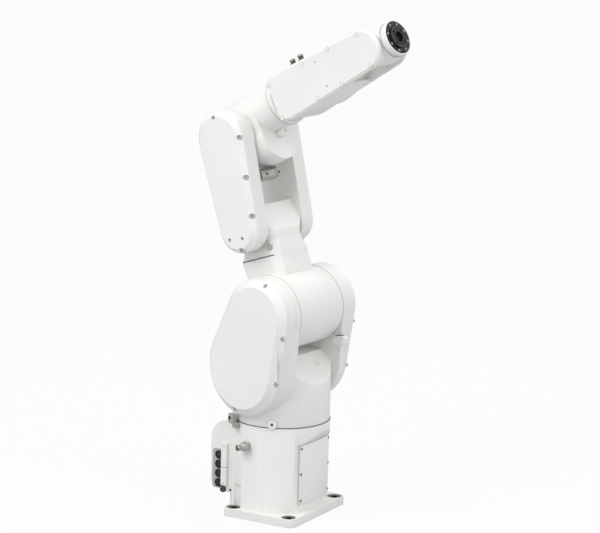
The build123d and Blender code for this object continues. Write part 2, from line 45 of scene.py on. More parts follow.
# Image and camera, as fitted to the photograph's view; metres, pixels and degrees
IMAGE_WIDTH = 600.0
FOCAL_PIXELS = 3037.0
SENSOR_WIDTH = 36.0
CAMERA_AZIMUTH = -59.7
CAMERA_RANGE = 5.6093
CAMERA_HEIGHT = 1.7062
CAMERA_YAW = -0.292
CAMERA_PITCH = 12.363
CAMERA_ROLL = 1.492
HALF_TURN = 180.0

# Light; the key lamp hangs high on the camera's left
WORLD_LIGHT = 0.79
LAMP_RANGE = 3.2
LAMP_SIZE = 1.8
LAMP_TARGET_HEIGHT = 0.5
KEY_AZIMUTH = -112.0
KEY_ELEVATION = 42.0
KEY_POWER = 46.5
FRONT_AZIMUTH = -8.0
FRONT_ELEVATION = 30.0
FRONT_POWER = 21.0
RIM_AZIMUTH = 75.0
RIM_ELEVATION = 45.0
RIM_POWER = 12.0
FLOOR_HALF = 40.0
FLOOR_GLOW_SHARE = 0.94
FLOOR_ROUGHNESS = 0.8

# Colours, linear
CASTING_PAINT = (0.80, 0.795, 0.78)
COVER_PAINT = (0.82, 0.815, 0.80)
BLACK_PLASTIC = (0.014, 0.014, 0.015)
# Blackened steel; also paints the shade inside the foot plate's bolt holes
DARK_STEEL_AND_HOLE_SHADE = (0.022, 0.022, 0.024)
STEEL = (0.66, 0.65, 0.63)
ALUMINIUM = (0.72, 0.72, 0.70)
# Seal rubber; also the painted shade of the shoulder clamp's slot
SEAL_RUBBER_AND_SLOT_SHADE = (0.13, 0.13, 0.13)
# Grey of seams; also the painted shade of the socket recess's wall
SEAM_AND_RECESS_SHADE_GREY = (0.42, 0.42, 0.41)
CAST_GREY = (0.46, 0.455, 0.44)
# Raw iron; on the foot plate's pocket floors it is partly bare metal and partly painted shade
RAW_IRON_AND_POCKET_SHADE = (0.10, 0.085, 0.07)
GREY_IRON = (0.40, 0.39, 0.37)
FLOOR_GREY = (0.55, 0.55, 0.55)
WHITE = (1, 1, 1, 1)

# Main sizes and places of the links, in millimetres in each link's frame
SHOULDER_FORWARD = 20.0
EAR_TOP_R = 71.0
EAR_LOW_R = 84.0
EAR_LOW = (-29.0, -99.0)
EAR_OUTER_Y = 100.0
EAR_LOW_REACH = 96.0
ARM_OUTER_Y = 78.0
SEAM_Z = 184.0
COLUMN_R = 94.0
HUB_R = 73.0
HUB_END_Y = 63.8
FOREARM_AXIS_Z = 22.0
FOREARM_START = 107.8
FOREARM_FACE_Y = 47.0
RING_R = 47.0
NECK_SEAM_RISE = 101.4
NECK_FRONT = 38.0
NECK_HALF_WIDTH = 52.0
NECK_CORNER_R = 18.0

# How finely round shapes are drawn, and the angle past which an edge stays sharp
PIN_STEPS = 12
TURN_STEPS = 24
FINE_STEPS = 32
HOLE_STEPS = 48
WIDE_STEPS = 96
CORNER_STEPS = 8
SHARP_ANGLE = math.radians(32)
FLAT_ANGLE = math.radians(1)

SIDES = ((-1, "right"), (1, "left"))


# Materials

TONE_SCALE = 7.0
TONE_DETAIL = 4.0
TONE_LOW_PLACE = 0.3
TONE_HIGH_PLACE = 0.7
GLOSS_BELOW = 0.05
GLOSS_ABOVE = 0.07
GRAIN_DETAIL = 2.0


def shader_tree(name, metallic):
    """New node material; returns it with its nodes, links and shader."""
    material = bpy.data.materials.new(name)
    material.use_nodes = True
    tree = material.node_tree
    shader = tree.nodes["Principled BSDF"]
    shader.inputs["Metallic"].default_value = metallic
    return material, tree.nodes, tree.links, shader


def finish_material(name, colour, roughness, metallic=0.0, bump=0.05, grain=900.0, tint=0.03, coat=0.0):
    """Surface with slow tone variation, uneven gloss and a fine grain in relief."""
    material, nodes, links, shader = shader_tree(name, metallic)
    shader.inputs["Coat Weight"].default_value = coat
    place = nodes.new("ShaderNodeTexCoord")

    slow = nodes.new("ShaderNodeTexNoise")
    slow.inputs["Scale"].default_value = TONE_SCALE
    slow.inputs["Detail"].default_value = TONE_DETAIL
    links.new(place.outputs["Object"], slow.inputs["Vector"])
    tone = nodes.new("ShaderNodeValToRGB")
    low = [channel * (1.0 - tint) for channel in colour]
    high = [min(channel * (1.0 + tint), 1.0) for channel in colour]
    tone.color_ramp.elements[0].position = TONE_LOW_PLACE
    tone.color_ramp.elements[0].color = (*low, 1.0)
    tone.color_ramp.elements[1].position = TONE_HIGH_PLACE
    tone.color_ramp.elements[1].color = (*high, 1.0)
    links.new(slow.outputs["Fac"], tone.inputs["Fac"])
    links.new(tone.outputs["Color"], shader.inputs["Base Color"])

    gloss = nodes.new("ShaderNodeMapRange")
    gloss.inputs["To Min"].default_value = roughness - GLOSS_BELOW
    gloss.inputs["To Max"].default_value = roughness + GLOSS_ABOVE
    links.new(slow.outputs["Fac"], gloss.inputs["Value"])
    links.new(gloss.outputs["Result"], shader.inputs["Roughness"])

    fine = nodes.new("ShaderNodeTexNoise")
    fine.inputs["Scale"].default_value = grain
    fine.inputs["Detail"].default_value = GRAIN_DETAIL
    links.new(place.outputs["Object"], fine.inputs["Vector"])
    relief = nodes.new("ShaderNodeBump")
    relief.inputs["Strength"].default_value = bump
    relief.inputs["Distance"].default_value = MM
    links.new(fine.outputs["Fac"], relief.inputs["Height"])
    links.new(relief.outputs["Normal"], shader.inputs["Normal"])
    return material


CASTING = finish_material("casting_paint", CASTING_PAINT, roughness=0.42, bump=0.12, grain=620.0)
COVER = finish_material("cover_paint", COVER_PAINT, roughness=0.34, bump=0.05, grain=800.0, coat=0.15)
BLACK = finish_material("black_moulding", BLACK_PLASTIC, roughness=0.42, bump=0.15, grain=1100.0, tint=0.2)
DARK = finish_material("blackened_steel_and_hole_shade", DARK_STEEL_AND_HOLE_SHADE, roughness=0.30, metallic=0.5, tint=0.2)
METAL = finish_material("screw_steel", STEEL, roughness=0.30, metallic=0.9, tint=0.1)
ALLOY = finish_material("machined_alloy", ALUMINIUM, roughness=0.36, metallic=0.9, tint=0.06)
SEAL = finish_material("seal_rubber_and_slot_shade", SEAL_RUBBER_AND_SLOT_SHADE, roughness=0.7, bump=0.1, tint=0.15)
CAST_ALLOY = finish_material("cast_alloy", CAST_GREY, roughness=0.42, metallic=0.7, bump=0.15, tint=0.12)
SEAM = finish_material("seam_shade", SEAM_AND_RECESS_SHADE_GREY, roughness=0.6, bump=0.1, tint=0.1)
IRON = finish_material("raw_iron_and_pocket_shade", RAW_IRON_AND_POCKET_SHADE, roughness=0.55, metallic=0.2, bump=0.25, tint=0.25)
GREY = finish_material("grey_iron", GREY_IRON, roughness=0.5, bump=0.2, tint=0.1)

SLOT_MATERIALS = {
    "painted_casting": CASTING,
    "painted_cover": COVER,
    "black_plastic": BLACK,
    "dark_steel": DARK,
    "bare_metal": ALLOY,
}


# Link frames, from the record's joints: x forward along the link, y to the arm's left, z up

JOINTS = {joint["name"]: joint for joint in frame["joints"]}


def joint_place(name):
    return Vector(JOINTS[name]["pos_m"])


def joint_axis(name):
    return Vector(JOINTS[name]["axis"]).normalized()


def link_frame(origin, x_axis, y_axis):
    """Right-handed frame with x and y near the given directions."""
    x_axis = x_axis.normalized()
    z_axis = x_axis.cross(y_axis).normalized()
    y_axis = z_axis.cross(x_axis).normalized()
    matrix = Matrix((x_axis, y_axis, z_axis)).transposed().to_4x4()
    matrix.translation = origin
    return matrix


across = joint_axis("axis_3")
forward = across.cross(Vector((0, 0, 1)))
arm_up = joint_place("axis_3") - joint_place("axis_2")
FRAMES = {
    "base": Matrix.Identity(4),
    "turret": link_frame(joint_place("axis_2"), forward, across),
    "lower_arm": link_frame(joint_place("axis_2"), across.cross(arm_up), across),
    "elbow": link_frame(joint_place("axis_3"), joint_axis("axis_4"), across),
    "forearm": link_frame(joint_place("axis_3"), joint_axis("axis_4"), across),
    "wrist": link_frame(joint_place("axis_5"), joint_axis("axis_6"), across),
    "flange": link_frame(joint_place("axis_5"), joint_axis("axis_6"), across),
}


# Mesh building

def facing(x, y, z, direction):
    """Place of a turned shape at a point in millimetres, its axis along a direction."""
    turn = Vector(direction).to_track_quat("Z", "Y").to_matrix().to_4x4()
    turn.translation = Vector((x, y, z)) * MM
    return turn


def axes_place(x_axis, y_axis, z_axis):
    """Place that lays an outline's two directions and its extrusion along three axes."""
    return Matrix((Vector(x_axis), Vector(y_axis), Vector(z_axis))).transposed().to_4x4()


FORWARD = (1, 0, 0)
UPWARD = (0, 0, 1)
TO_RIGHT = (0, -1, 0)
ALONG_Y = axes_place((1, 0, 0), (0, 0, 1), (0, 1, 0))
ALONG_Z = axes_place((1, 0, 0), (0, 1, 0), (0, 0, 1))


def ring_points(radius, height, sides, steps):
    """Points of a round ring, or of a regular polygon's outline, in millimetres."""
    points = []
    for step in range(steps):
        angle = 2 * math.pi * step / steps
        reach = radius
        if sides:
            part = 2 * math.pi / sides
            reach = radius * math.cos(part / 2) / math.cos(angle % part - part / 2)
        points.append(Vector((reach * math.cos(angle), reach * math.sin(angle), height)) * MM)
    return points


def join_loops(shape, loops, closed_ends):
    """Faces between loops of equal length, capped or closed on themselves."""
    pairs = list(zip(loops, loops[1:]))
    if not closed_ends:
        pairs.append((loops[-1], loops[0]))
    for lower, upper in pairs:
        for step in range(len(lower)):
            after = (step + 1) % len(lower)
            shape.faces.new((lower[step], lower[after], upper[after], upper[step]))
    if closed_ends:
        shape.faces.new(list(reversed(loops[0])))
        shape.faces.new(loops[-1])


def add_stack(shape, place, rings, steps, capped):
    """Adds a turned shape to a mesh from its (radius, height, sides) rings."""
    loops = []
    for ring in rings:
        radius, height = ring[:2]
        sides = ring[2] if len(ring) > 2 else 0
        loops.append([shape.verts.new(place @ point) for point in ring_points(radius, height, sides, steps)])
    join_loops(shape, loops, capped)


def soften(shape):
    """Smooth faces with sharp corners kept."""
    bmesh.ops.recalc_face_normals(shape, faces=shape.faces)
    for face in shape.faces:
        face.smooth = True
    for edge in shape.edges:
        if len(edge.link_faces) == 2:
            edge.smooth = edge.calc_face_angle(0) < SHARP_ANGLE


def add_piece(name, body, material, mesh, place):
    """Puts a mesh on a body, with its material."""
    mesh.materials.clear()
    mesh.materials.append(material)
    piece = bpy.data.objects.new(name, mesh)
    bpy.context.scene.collection.objects.link(piece)
    piece.matrix_world = place
    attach(piece, body)
    return piece


def finish_shape(name, body, material, shape):
    """Turns a mesh built in a body's frame into a piece."""
    soften(shape)
    mesh = bpy.data.meshes.new(name)
    shape.to_mesh(mesh)
    shape.free()
    return add_piece(name, body, material, mesh, FRAMES[body])


def add_turned(name, body, material, items, steps=TURN_STEPS, capped=True):
    """One piece of turned shapes, from (place, rings) pairs in the body's frame."""
    shape = bmesh.new()
    for place, rings in items:
        add_stack(shape, place, rings, steps, capped)
    return finish_shape(name, body, material, shape)


def add_prisms(name, body, material, place, items, edge_round=0.0):
    """One piece of prisms, from (outline, low, high) items in the body's frame."""
    shape = bmesh.new()
    for outline, low, high in items:
        loops = []
        for height in (low, high):
            loops.append([shape.verts.new(place @ (Vector((u, v, height)) * MM)) for u, v in outline])
        join_loops(shape, loops, True)
    piece = finish_shape(name, body, material, shape)
    if edge_round:
        soften_edges(piece, edge_round)
    return piece


def rectangle(low_u, high_u, low_v, high_v):
    return [(low_u, low_v), (high_u, low_v), (high_u, high_v), (low_u, high_v)]


def rounded_rectangle(low_u, high_u, low_v, high_v, corner_r):
    """Outline of a rectangle with round corners."""
    centres = [(high_u - corner_r, high_v - corner_r), (low_u + corner_r, high_v - corner_r),
               (low_u + corner_r, low_v + corner_r), (high_u - corner_r, low_v + corner_r)]
    points = []
    for index, (u, v) in enumerate(centres):
        for step in range(CORNER_STEPS + 1):
            angle = math.pi / 2 * (index + step / CORNER_STEPS)
            points.append((u + corner_r * math.cos(angle), v + corner_r * math.sin(angle)))
    return points


# A socket-head screw's parts, as shares of its head's radius or height
HEAD_EDGE_SHARE = 0.12
KEY_SHARE = 0.5
KEY_TAPER_SHARE = 0.96
KEY_FLOOR_SHARE = 0.5


def screw_rings(radius, height):
    """Socket-head screw: a round head with a hexagonal recess."""
    edge = radius * HEAD_EDGE_SHARE
    key = radius * KEY_SHARE
    return [(radius, 0), (radius, height - edge), (radius - edge, height), (key, height, 6),
            (key * KEY_TAPER_SHARE, height * KEY_FLOOR_SHARE, 6)]


def washer_rings(inner, outer, height):
    """Flat ring; its rings close on themselves."""
    return [(inner, 0), (outer, 0), (outer, height), (inner, height)]


ROUND_STEPS = 3


def soften_edges(shape, width):
    """Rounds an object's hard edges."""
    edge = shape.modifiers.new("edge", "BEVEL")
    edge.width = width * MM
    edge.segments = ROUND_STEPS
    edge.limit_method = "ANGLE"
    edge.angle_limit = SHARP_ANGLE
    edge.harden_normals = True


# Castings and covers: their finish, and how far their edges are rounded, in millimetres

EDGE_ROUND = 1.3
NODE_ROUNDS = {
    "elbow_housing": 6.0,
    "lower_arm_fork": 3.5,
    "lower_arm_hub": 3.0,
    "turret_casting": 2.5,
    "base_casting": 2.0,
    "connector_box": 3.0,
    "forearm_casting": 2.5,
    "wrist_housing": 2.0,
    "front_cover": 0.8,
    "forearm_cover_right": 2.0,
    "forearm_cover_left": 2.0,
}
SHOULDER_COVER_ROUND = 4.5
ELBOW_COVER_ROUND = 3.2
WELD_REACH = 0.02 * MM
PAINTED_NODES = ["port_strip", "shoulder_clamp"]


def dress_node(node, slot):
    shape = frame["nodes"][node]
    material = CASTING if node in PAINTED_NODES else SLOT_MATERIALS[slot]
    shape.data.materials.clear()
    shape.data.materials.append(material)
    weld = shape.modifiers.new("weld", "WELD")
    weld.merge_threshold = WELD_REACH
    soften_edges(shape, NODE_ROUNDS.get(node, EDGE_ROUND))


for part in frame["record"]["subparts"]:
    dress_node(part["node"], part["material_slot"])


# Shoulder and elbow covers with screw pockets, and the screws in them

# Screws as (x, z, size) in the link's frame
SHOULDER_SCREWS = [(21, 63, 0.8), (65, -32, 1), (52, -121, 1), (-43, -184, 1)]
ARM_SCREWS = [(2, 381, 0.8), (48.5, 332, 1), (40.5, 257, 1), (32.5, 184.5, 1), (-31, 152, 0.7),
              (0, 149, 0.7), (-11, 126, 1.3)]
POCKET_R = 5.0
POCKET_FLOOR = 5.0
POCKET_REACH = 60.0
HEAD_R = 3.8
HEAD_HEIGHT = 3.0


def lowered(point):
    """Draws the shoulder's lower lobe out to its full reach."""
    drop = EAR_LOW[1] - point.z
    if drop > 0:
        point.z = EAR_LOW[1] - drop * EAR_LOW_REACH / EAR_LOW_R
    return point


def unchanged(point):
    return point


def pocketed_cover(node, body, side, seat_y, screws, edge_round, reshape):
    """Cover of one side with its screw pockets, and the screws in them."""
    into_link = FRAMES[body].inverted()
    shape = bmesh.new()
    shape.from_mesh(frame["nodes"][node].data)
    bmesh.ops.remove_doubles(shape, verts=shape.verts, dist=WELD_REACH)
    for vert in shape.verts:
        vert.co = FRAMES[body] @ (reshape(into_link @ vert.co / MM) * MM)
    bmesh.ops.dissolve_limit(shape, angle_limit=FLAT_ANGLE, verts=shape.verts, edges=shape.edges)
    cover_mesh = bpy.data.meshes.new(node + "_cut")
    shape.to_mesh(cover_mesh)
    shape.free()
    blank = bpy.data.objects.new(node + "_blank", cover_mesh)
    bpy.context.scene.collection.objects.link(blank)

    cutter_shape = bmesh.new()
    for x, z, size in screws:
        place = facing(x, side * (seat_y + POCKET_FLOOR), z, (0, side, 0))
        add_stack(cutter_shape, place, [(POCKET_R * size, 0), (POCKET_R * size, POCKET_REACH)],
                  TURN_STEPS, True)
    bmesh.ops.recalc_face_normals(cutter_shape, faces=cutter_shape.faces)
    cutter_mesh = bpy.data.meshes.new(node + "_cutter")
    cutter_shape.to_mesh(cutter_mesh)
    cutter_shape.free()
    cutter = bpy.data.objects.new(node + "_cutter", cutter_mesh)
    bpy.context.scene.collection.objects.link(cutter)
    cutter.matrix_world = FRAMES[body]

    cut = blank.modifiers.new("pockets", "BOOLEAN")
    cut.operation = "DIFFERENCE"
    cut.solver = "EXACT"
    cut.object = cutter
    bpy.context.view_layer.update()
    graph = bpy.context.evaluated_depsgraph_get()
    result = bpy.data.meshes.new_from_object(blank.evaluated_get(graph))
    bpy.data.objects.remove(blank)
    bpy.data.objects.remove(cutter)

    tidy = bmesh.new()
    tidy.from_mesh(result)
    soften(tidy)
    tidy.to_mesh(result)
    tidy.free()
    cover = add_piece(node + "_dressed", body, COVER, result, Matrix.Identity(4))
    soften_edges(cover, edge_round)
    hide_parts(node)

    items = []
    for x, z, size in screws:
        place = facing(x, side * (seat_y + POCKET_FLOOR), z, (0, side, 0))
        items.append((place, screw_rings(HEAD_R * size, HEAD_HEIGHT)))
    add_turned(node + "_screws", body, METAL, items)


for side, word in SIDES:
    pocketed_cover("shoulder_cover_" + word, "turret", side, EAR_OUTER_Y, SHOULDER_SCREWS,
                   SHOULDER_COVER_ROUND, lowered)
    pocketed_cover("elbow_cover_" + word, "lower_arm", side, ARM_OUTER_Y, ARM_SCREWS,
                   ELBOW_COVER_ROUND, unchanged)


# Shoulder ears, whose front spreads inward and forward into the turret

# Sections at these distances from the middle, each with its share of the spread
EAR_STATIONS = [100.2, 94.0, 86.0, 78.0, 66.0]
EAR_SPREAD_SHARES = [0.0, 0.25, 0.65, 0.95, 1.0]
EAR_SPREAD = 12.0
EAR_SPREAD_START = -8.0
EAR_SPREAD_RUN = 95.0
EAR_SKIN = 0.3


def lobed_outline(first_r, second, second_r, count):
    """Points around the hull of two round lobes, the first one at the origin."""
    points = []
    for step in range(count):
        angle = 2 * math.pi * step / count
        toward = Vector((math.cos(angle), math.sin(angle)))
        upper = first_r * toward
        lower = Vector(second) + second_r * toward
        points.append(upper if upper.dot(toward) > lower.dot(toward) else lower)
    return points


def ear_loop(share, y):
    """Ear's outline at one station, its front spread by a share."""
    points = []
    for point in lobed_outline(EAR_TOP_R + EAR_SKIN, EAR_LOW, EAR_LOW_R + EAR_SKIN, WIDE_STEPS):
        place = lowered(Vector((point.x, y, point.y)))
        depth = min(max((EAR_SPREAD_START - place.z) / EAR_SPREAD_RUN, 0.0), 1.0)
        depth = depth * depth * (3 - 2 * depth)
        fore = min(max((place.x - EAR_LOW[0]) / EAR_TOP_R, 0.0), 1.0)
        place.x += EAR_SPREAD * share * depth * fore
        points.append(place)
    return points


for side, word in SIDES:
    shape = bmesh.new()
    loops = []
    for y, share in zip(EAR_STATIONS, EAR_SPREAD_SHARES):
        loops.append([shape.verts.new(point * MM) for point in ear_loop(share, side * y)])
    join_loops(shape, loops, True)
    finish_shape("shoulder_ear_" + word, "turret", CASTING, shape)


# Seals and seams that show as thin lines at the joints

SEAL_WIDTH = 0.9
SEAL_DEPTH = 2
SEAL_PROUD = 0.25


def seal(name, body, radius, width, place, material=SEAL):
    rings = washer_rings(radius - SEAL_DEPTH, radius + SEAL_PROUD, width)
    add_turned(name, body, material, [(place, rings)], steps=WIDE_STEPS, capped=False)


seal("column_seal", "base", COLUMN_R, SEAL_WIDTH, facing(0, 0, SEAM_Z - SEAL_WIDTH, UPWARD))
for side, word in SIDES:
    place = facing(0, side * HUB_END_Y, 0, (0, side, 0))
    seal("hub_seal_" + word, "turret", HUB_R, SEAL_WIDTH, place, SEAM)
place = facing(FOREARM_START, 0, FOREARM_AXIS_Z, FORWARD)
seal("forearm_seal", "forearm", RING_R, SEAL_WIDTH, place, SEAM)


# Lower arm: collar that narrows from the neck to the fork, and the line where they join

# Stations as (rear, front, half width, height)
NECK_STATIONS = [(58.0, 38.05, 52.0, 99.0), (57.0, 38.05, 51.8, 105.0), (54.0, 38.0, 50.6, 110.0),
                 (51.5, 37.0, 47.0, 122.0), (50.0, 36.1, 44.2, 134.0)]
NECK_JOINT_LIFT = 2.6
NECK_JOINT_RISE = NECK_SEAM_RISE + NECK_JOINT_LIFT
NECK_JOINT_WIDTH = 2.2
NECK_JOINT_FRONT = 30.0
NECK_JOINT_REAR = 57.6

shape = bmesh.new()
loops = []
for rear, front, half_width, height in NECK_STATIONS:
    outline = rounded_rectangle(-rear, front, -half_width, half_width, NECK_CORNER_R)
    loops.append([shape.verts.new(Vector((x, y, height)) * MM) for x, y in outline])
join_loops(shape, loops, True)
finish_shape("neck_collar", "lower_arm", CASTING, shape)

joint = rounded_rectangle(-NECK_JOINT_REAR, NECK_FRONT, -NECK_HALF_WIDTH, NECK_HALF_WIDTH, NECK_CORNER_R)
joint = [(min(x, NECK_JOINT_FRONT), y) for x, y in joint]
add_prisms("neck_joint", "lower_arm", SEAL, ALONG_Z,
           [(joint, NECK_JOINT_RISE, NECK_JOINT_RISE + NECK_JOINT_WIDTH)])


# Base: front cover's gasket and screws

FRONT_CENTRE_X = -172.0
FRONT_FACE_R = 252.4
FRONT_SCREW_Y = 50.5
FRONT_SCREW_HEIGHTS = [142, 92, 40]
FRONT_HEAD_R = 2.6
FRONT_HEAD_HEIGHT = 2.2
FRONT_GASKET_EDGE = 1.0
FRONT_GASKET_SINK = 3.5

cover_shape = bmesh.new()
cover_shape.from_mesh(frame["nodes"]["front_cover"].data)
bmesh.ops.remove_doubles(cover_shape, verts=cover_shape.verts, dist=WELD_REACH)
low = Vector([min(vert.co[axis] for vert in cover_shape.verts) for axis in range(3)])
high = Vector([max(vert.co[axis] for vert in cover_shape.verts) for axis in range(3)])
middle = (low + high) / 2
for vert in cover_shape.verts:
    for axis in (1, 2):
        grown = 1 + 2 * FRONT_GASKET_EDGE * MM / (high[axis] - low[axis])
        vert.co[axis] = middle[axis] + (vert.co[axis] - middle[axis]) * grown
    vert.co.x -= FRONT_GASKET_SINK * MM
finish_shape("front_gasket", "base", SEAM, cover_shape)

items = []
lean = math.asin(FRONT_SCREW_Y / FRONT_FACE_R)
for side, word in SIDES:
    for height in FRONT_SCREW_HEIGHTS:
        x = FRONT_CENTRE_X + FRONT_FACE_R * math.cos(lean)
        place = facing(x, side * FRONT_SCREW_Y, height, (math.cos(lean), side * math.sin(lean), 0))
        items.append((place, screw_rings(FRONT_HEAD_R, FRONT_HEAD_HEIGHT)))
add_turned("front_cover_screws", "base", IRON, items)


# Base: pockets and bolt holes of the foot plate; the pocket floors are darkened in a bare iron colour that is
# partly painted shade, and the dark hole walls are painted shade inside the holes

FOOT_HOLES = [(72.5, 86.5), (72.5, -86.5), (-48.5, 86.5), (-48.5, -86.5)]
FOOT_HOLE_R = 6.75
FOOT_POCKET_R = 14.0
FOOT_POCKET_FLOOR = 14.0
SPOT_LAP = 0.2
SPOT_EDGE = 0.3
SPOT_THICKNESS = 0.6
WALL_START = 1
WALL_HEIGHT = 13.2
WALL_INNER = 1.2
WALL_OUTER = 0.1

spots = []
walls = []
spot_rings = washer_rings(FOOT_HOLE_R - SPOT_LAP, FOOT_POCKET_R - SPOT_EDGE, SPOT_THICKNESS)
wall_rings = washer_rings(FOOT_HOLE_R - WALL_INNER, FOOT_HOLE_R - WALL_OUTER, WALL_HEIGHT)
for x, y in FOOT_HOLES:
    spots.append((facing(x, y, FOOT_POCKET_FLOOR, UPWARD), spot_rings))
    walls.append((facing(x, y, WALL_START, UPWARD), wall_rings))
add_turned("foot_spot_faces", "base", IRON, spots, steps=HOLE_STEPS, capped=False)
# Dark liners in the bolt holes: painted shade inside the holes
add_turned("foot_hole_painted_shade", "base", DARK, walls, steps=HOLE_STEPS, capped=False)


# Base: sockets, strip and studs on the connector box

PORT_X = -98.5
PORT_FACE_Y = -62.3
PORT_HEIGHTS = [50, 68.5, 87, 105.5]
PORT_R = 8.4
STRIP_REAR_X = -91.5
STRIP_FRONT_X = -79.0
STRIP_PROUD_Y = -68.0
STRIP_LOW_Z = 47.0
STRIP_JOINT_Z = 83.0
STRIP_HIGH_Z = 130.0

# Grey plate behind the sockets: painted shade on the recess's side wall
RECESS_SHADE_REAR_X = -113
RECESS_SHADE_LAP = 1
RECESS_SHADE_LOW_Z = 39
RECESS_SHADE_HIGH_Z = 117
RECESS_SHADE_CORNER_R = 6
RECESS_SHADE_PROUD = 0.3
RECESS_SHADE_ROOT = 3
recess_shade_outline = rounded_rectangle(RECESS_SHADE_REAR_X, STRIP_REAR_X + RECESS_SHADE_LAP, RECESS_SHADE_LOW_Z, RECESS_SHADE_HIGH_Z, RECESS_SHADE_CORNER_R)
add_prisms("socket_recess_painted_shade", "base", SEAM, ALONG_Y,
           [(recess_shade_outline, PORT_FACE_Y - RECESS_SHADE_PROUD, PORT_FACE_Y + RECESS_SHADE_ROOT)])

RIM_RINGS = [(PORT_R, -3), (PORT_R, 1.6), (7.8, 2.2), (6.6, 2.2), (6.6, 0.6)]
INSERT_RINGS = [(6.2, 0), (6.2, 1.2), (5.6, 1.6)]
PIN_RINGS = [(0.7, 0), (0.7, 1.8), (0.4, 2.1)]
PIN_CIRCLE_R = 3.0
PIN_COUNT = 5
rims = []
inserts = []
pins = []
for height in PORT_HEIGHTS:
    place = facing(PORT_X, PORT_FACE_Y, height, TO_RIGHT)
    rims.append((place, RIM_RINGS))
    inserts.append((place, INSERT_RINGS))
    for index in range(PIN_COUNT):
        angle = 2 * math.pi * index / PIN_COUNT
        pin_x = PORT_X + PIN_CIRCLE_R * math.cos(angle)
        pin_z = height + PIN_CIRCLE_R * math.sin(angle)
        pins.append((facing(pin_x, PORT_FACE_Y, pin_z, TO_RIGHT), PIN_RINGS))
sockets = add_turned("socket_rims", "base", BLACK, rims, steps=FINE_STEPS)
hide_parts("port_sockets")
add_turned("socket_inserts", "base", BLACK, inserts)
add_turned("socket_pins", "base", IRON, pins, steps=PIN_STEPS)

STRIP_GAP_HALF = 0.5
STRIP_ROOT = 2
STRIP_ROUND = 0.8
STRIP_HEAD_R = 1.6
STRIP_HEAD_HEIGHT = 0.8
STRIP_SCREW_INSET = 5
STRIP_SPANS = [(STRIP_LOW_Z, STRIP_JOINT_Z - STRIP_GAP_HALF), (STRIP_JOINT_Z + STRIP_GAP_HALF, STRIP_HIGH_Z)]
plates = []
for low_z, high_z in STRIP_SPANS:
    outline = rectangle(STRIP_REAR_X, STRIP_FRONT_X, low_z, high_z)
    plates.append((outline, STRIP_PROUD_Y, PORT_FACE_Y + STRIP_ROOT))
strip = add_prisms("strip_plates", "base", COVER, ALONG_Y, plates, STRIP_ROUND)
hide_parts("port_strip")
items = []
for height in (STRIP_LOW_Z + STRIP_SCREW_INSET, STRIP_HIGH_Z - STRIP_SCREW_INSET):
    place = facing((STRIP_REAR_X + STRIP_FRONT_X) / 2, STRIP_PROUD_Y, height, TO_RIGHT)
    items.append((place, screw_rings(STRIP_HEAD_R, STRIP_HEAD_HEIGHT)))
add_turned("strip_screws", "base", METAL, items)

GLAND_PLACE = (-88, -60, 39)
GLAND_DIRECTION = (-0.2, -1, -0.35)
GLAND_RINGS = [(6.4, -4), (6.4, 3), (5.2, 3.4, 6), (5.2, 7, 6), (3.4, 7.4), (3.4, 6)]
STUD_PLACE = (-73, -60, 39)
STUD_DIRECTION = (0, -1, -0.3)
STUD_RINGS = [(2.6, -3), (2.6, 2.4), (2.0, 3)]
items = [
    (facing(*GLAND_PLACE, GLAND_DIRECTION), GLAND_RINGS),
    (facing(*STUD_PLACE, STUD_DIRECTION), STUD_RINGS),
]
add_turned("box_studs", "base", IRON, items)


# Base: column fitting, an elbow that turns to the rear and ends in a nut

FITTING_CENTRE = (-19.0, -103.0, 143.0)
FITTING_TURN = (-1, -0.15, -0.3)
STEM_SHIFT = (0, 17, 0)
STEM_RINGS = [(9.2, 0), (9.2, 8.6), (8.2, 9.6), (7.0, 10.0), (7.0, 11.0)]
CAP_SHIFT = (0, 6, 0)
CAP_RINGS = [(8.2, 0), (8.8, 1.2), (8.8, 8.0), (8.0, 10.6), (6.4, 12.6), (3.8, 13.8), (1.2, 14.1)]
BRANCH_SHIFT = (-3, 0, -1)
BRANCH_RINGS = [(5.4, 0), (5.4, 8.0), (4.6, 8.6)]
NUT_SHIFT = (-10, -1, -3.2)
NUT_RINGS = [(6.0, 0, 6), (6.0, 5, 6), (5.2, 5.6), (4.0, 5.6), (4.0, 3.6)]


def fitting_place(shift, direction):
    x, y, z = [centre + step for centre, step in zip(FITTING_CENTRE, shift)]
    return facing(x, y, z, direction)


items = [
    (fitting_place(STEM_SHIFT, TO_RIGHT), STEM_RINGS),
    (fitting_place(CAP_SHIFT, TO_RIGHT), CAP_RINGS),
    (fitting_place(BRANCH_SHIFT, FITTING_TURN), BRANCH_RINGS),
]
fitting = add_turned("fitting_elbow", "base", CAST_ALLOY, items, steps=FINE_STEPS)
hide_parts("column_fitting")
add_turned("fitting_nut", "base", IRON, [(fitting_place(NUT_SHIFT, FITTING_TURN), NUT_RINGS)])


# Base: stop block on the column's edge, an upright plate on a foot

STOP_ANGLE = -122.0
STOP_PLATE = (99, 108, -11, 9)
STOP_PLATE_HEIGHTS = (179, 198)
STOP_FOOT = (88, 105, 0, 12)
STOP_FOOT_HEIGHTS = (172, 183.4)
STOP_ROUND = 1.6
STOP_HEAD_PLACE = (108, -4, 190)
STOP_HEAD_R = 3.6
STOP_HEAD_HEIGHT = 1.8

turned = Matrix.Rotation(math.radians(STOP_ANGLE), 4, "Z")
items = [
    (rectangle(*STOP_PLATE), *STOP_PLATE_HEIGHTS),
    (rectangle(*STOP_FOOT), *STOP_FOOT_HEIGHTS),
]
block = add_prisms("stop_bracket", "base", GREY, turned, items, STOP_ROUND)
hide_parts("stop_block")
place = turned @ facing(*STOP_HEAD_PLACE, FORWARD)
items = [(place, screw_rings(STOP_HEAD_R, STOP_HEAD_HEIGHT))]
add_turned("stop_block_screw", "base", DARK, items)


# Turret: stop boss and its screw

